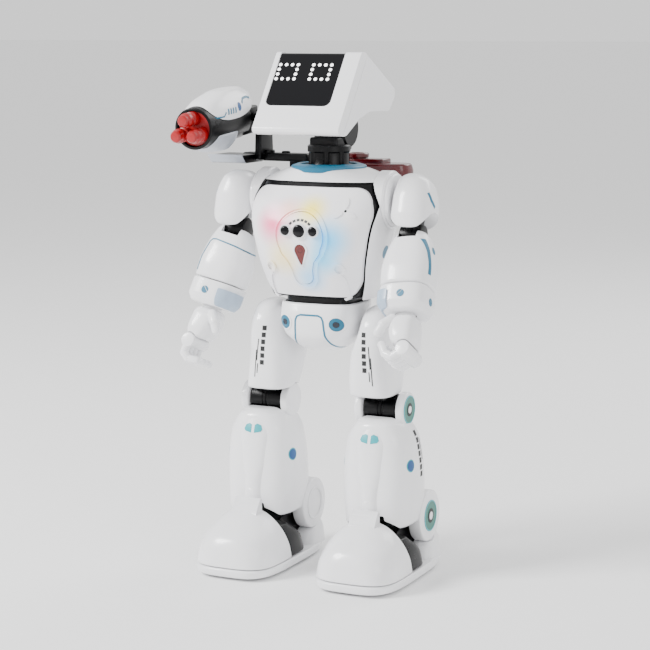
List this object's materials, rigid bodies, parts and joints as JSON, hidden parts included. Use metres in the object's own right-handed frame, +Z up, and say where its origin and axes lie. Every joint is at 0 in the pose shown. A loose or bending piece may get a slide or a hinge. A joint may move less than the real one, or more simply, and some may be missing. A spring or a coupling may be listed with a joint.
{
  "type": "toy robot",
  "caption": "Walking toy robot with a screen face, jointed arms and legs, wheeled boots, a shoulder dart launcher and a lift-off back tank.",
  "frame": {"origin": "on the floor under the centre of the bounding box, between the boots", "axes": "+Z up, +X towards the robot's left side, -Y the way the robot faces"},
  "size_m": [0.1943, 0.14, 0.3738],
  "materials": {
    "black_plastic": "gloss",
    "circuit_board": "matte",
    "grey_shell": "satin",
    "lit_panel": "gloss",
    "red_plastic": "gloss",
    "rubber": "matte",
    "smoked_window": "high gloss",
    "steel": "polished",
    "tank_red": "gloss",
    "teal_trim": "gloss",
    "white_shell": "gloss"
  },
  "bodies": {
    "torso": {"chest_shell": "white_shell", "back_shell": "white_shell", "battery_door": "white_shell", "chest_panel": "lit_panel", "inner_frame": "black_plastic", "badge_lens": "lit_panel", "sensor_plate": "smoked_window", "collar_ring": "teal_trim", "pelvis_front_shell": "white_shell", "pelvis_rear_shell": "white_shell", "hip_axle": "steel", "walk_gearbox": "black_plastic", "shoulder_axle": "steel", "main_board": "circuit_board", "battery_pack": "black_plastic", "shoulder_ring_left": "white_shell", "shoulder_ring_right": "white_shell", "launcher_bracket": "black_plastic"},
    "neck": {"neck_post": "black_plastic"},
    "head": {"head_front_shell": "white_shell", "head_rear_shell": "white_shell", "face_screen": "smoked_window", "eye_light_board": "circuit_board", "tilt_barrel": "black_plastic"},
    "button": {"power_button": "red_plastic"},
    "tank": {"water_tank": "tank_red"},
    "cap": {"tank_cap": "tank_red"},
    "launcher": {"launcher_body": "black_plastic", "launcher_top_cover": "white_shell", "launcher_under_cover": "grey_shell", "dart_drum": "red_plastic"},
    "dart_1": {"dart_1": "red_plastic"},
    "dart_2": {"dart_2": "red_plastic"},
    "dart_3": {"dart_3": "red_plastic"},
    "arm_left": {"upper_arm_left": "white_shell", "elbow_left": "black_plastic"},
    "forearm_left": {"forearm_left": "white_shell", "cuff_left": "white_shell"},
    "hand_left": {"hand_left": "white_shell"},
    "fingers_left": {"fingers_left": "white_shell"},
    "thigh_left": {"thigh_left": "white_shell", "knee_roller_left": "black_plastic"},
    "shin_left": {"shin_left": "white_shell"},
    "foot_left": {"sole_left": "white_shell", "toe_shell_left": "white_shell", "boot_insert_left": "black_plastic"},
    "wheels_left": {"drive_wheels_left": "rubber"},
    "arm_right": {"upper_arm_right": "white_shell", "elbow_right": "black_plastic"},
    "forearm_right": {"forearm_right": "white_shell", "cuff_right": "white_shell"},
    "hand_right": {"hand_right": "white_shell"},
    "fingers_right": {"fingers_right": "white_shell"},
    "thigh_right": {"thigh_right": "white_shell", "knee_roller_right": "black_plastic"},
    "shin_right": {"shin_right": "white_shell"},
    "foot_right": {"sole_right": "white_shell", "toe_shell_right": "white_shell", "boot_insert_right": "black_plastic"},
    "wheels_right": {"drive_wheels_right": "rubber"}
  },
  "joints": [
    {"name": "head_turn", "type": "hinge", "parent": "torso", "child": "neck", "pos_m": [0.0029, 0.006, 0.3], "axis": [0, 0, 1], "range_deg": [-35, 35]},
    {"name": "head_nod", "type": "hinge", "parent": "neck", "child": "head", "pos_m": [0.0029, 0.018, 0.3185], "axis": [1, 0, 0], "range_deg": [-8, 10]},
    {"name": "button_press", "type": "slide", "parent": "torso", "child": "button", "axis": [0, 1, 0], "range_m": [0, 0.0015], "stiffness_N_per_m": 300, "springref_m": -0.0005},
    {"name": "tank_lift", "type": "slide", "parent": "torso", "child": "tank", "axis": [0, 0, 1], "range_m": [0, 0.03]},
    {"name": "cap_turn", "type": "hinge", "parent": "tank", "child": "cap", "pos_m": [0.0029, 0.055, 0.297], "axis": [0, 0, 1], "range_deg": [0, 270]},
    {"name": "launcher_tilt", "type": "hinge", "parent": "torso", "child": "launcher", "pos_m": [-0.0801, 0.026, 0.325], "axis": [1, 0, 0], "range_deg": [-12, 8]},
    {"name": "dart_1_out", "type": "slide", "parent": "launcher", "child": "dart_1", "axis": [0, -0.9962, -0.0872], "range_m": [0, 0.03]},
    {"name": "dart_2_out", "type": "slide", "parent": "launcher", "child": "dart_2", "axis": [0, -0.9962, -0.0872], "range_m": [0, 0.03]},
    {"name": "dart_3_out", "type": "slide", "parent": "launcher", "child": "dart_3", "axis": [0, -0.9962, -0.0872], "range_m": [0, 0.03]},
    {"name": "shoulder_left", "type": "hinge", "parent": "torso", "child": "arm_left", "pos_m": [0.0629, 0.004, 0.27], "axis": [1, 0, 0], "range_deg": [-50, 12]},
    {"name": "elbow_left", "type": "hinge", "parent": "arm_left", "child": "forearm_left", "pos_m": [0.0729, -0.00489, 0.24557], "axis": [0.9925, 0.0417, 0.1145], "range_deg": [-24, 8]},
    {"name": "wrist_left", "type": "hinge", "parent": "forearm_left", "child": "hand_left", "pos_m": [0.08022, -0.03524, 0.19316], "axis": [-0.12, 0.4975, 0.8591], "range_deg": [-45, 45]},
    {"name": "fingers_left_curl", "type": "hinge", "parent": "hand_left", "child": "fingers_left", "pos_m": [0.08799, -0.04873, 0.17005], "axis": [0.0212, 0.8665, -0.4988], "range_deg": [-60, 0]},
    {"name": "hip_left", "type": "hinge", "parent": "torso", "child": "thigh_left", "pos_m": [0.0329, 0.005, 0.172], "axis": [1, 0, 0], "range_deg": [-10, 10]},
    {"name": "knee_left", "type": "hinge", "parent": "thigh_left", "child": "shin_left", "pos_m": [0.0484, 0.003, 0.1205], "axis": [1, 0, 0], "range_deg": [0, 10]},
    {"name": "ankle_left", "type": "hinge", "parent": "shin_left", "child": "foot_left", "pos_m": [0.0504, 0.024, 0.039], "axis": [1, 0, 0], "range_deg": [-3, 3]},
    {"name": "wheel_left", "type": "hinge", "parent": "foot_left", "child": "wheels_left", "pos_m": [0.0504, 0.026, 0.0034], "axis": [1, 0, 0], "continuous": true},
    {"name": "shoulder_right", "type": "hinge", "parent": "torso", "child": "arm_right", "pos_m": [-0.0571, 0.004, 0.27], "axis": [1, 0, 0], "range_deg": [-50, 12]},
    {"name": "elbow_right", "type": "hinge", "parent": "arm_right", "child": "forearm_right", "pos_m": [-0.0671, 0.00038, 0.24425], "axis": [0.9781, -0.0289, -0.2059], "range_deg": [-24, 8]},
    {"name": "wrist_right", "type": "hinge", "parent": "forearm_right", "child": "hand_right", "pos_m": [-0.07959, -0.01829, 0.18754], "axis": [0.2048, 0.306, 0.9297], "range_deg": [-45, 45]},
    {"name": "fingers_right_curl", "type": "hinge", "parent": "hand_right", "child": "fingers_right", "pos_m": [-0.08962, -0.02657, 0.1629], "axis": [0.0361, -0.9516, 0.3053], "range_deg": [0, 60]},
    {"name": "hip_right", "type": "hinge", "parent": "torso", "child": "thigh_right", "pos_m": [-0.0271, 0.005, 0.172], "axis": [1, 0, 0], "range_deg": [-10, 10]},
    {"name": "knee_right", "type": "hinge", "parent": "thigh_right", "child": "shin_right", "pos_m": [-0.0426, 0.003, 0.1205], "axis": [1, 0, 0], "range_deg": [0, 10]},
    {"name": "ankle_right", "type": "hinge", "parent": "shin_right", "child": "foot_right", "pos_m": [-0.0446, 0.024, 0.039], "axis": [1, 0, 0], "range_deg": [-3, 3]},
    {"name": "wheel_right", "type": "hinge", "parent": "foot_right", "child": "wheels_right", "pos_m": [-0.0446, 0.026, 0.0034], "axis": [1, 0, 0], "continuous": true}
  ],
  "couplings": [
    {"joint": "hip_right", "follows": "hip_left", "ratio": -1},
    {"joint": "ankle_left", "follows": "hip_left", "ratio": -0.3},
    {"joint": "ankle_right", "follows": "hip_left", "ratio": 0.3}
  ]
}
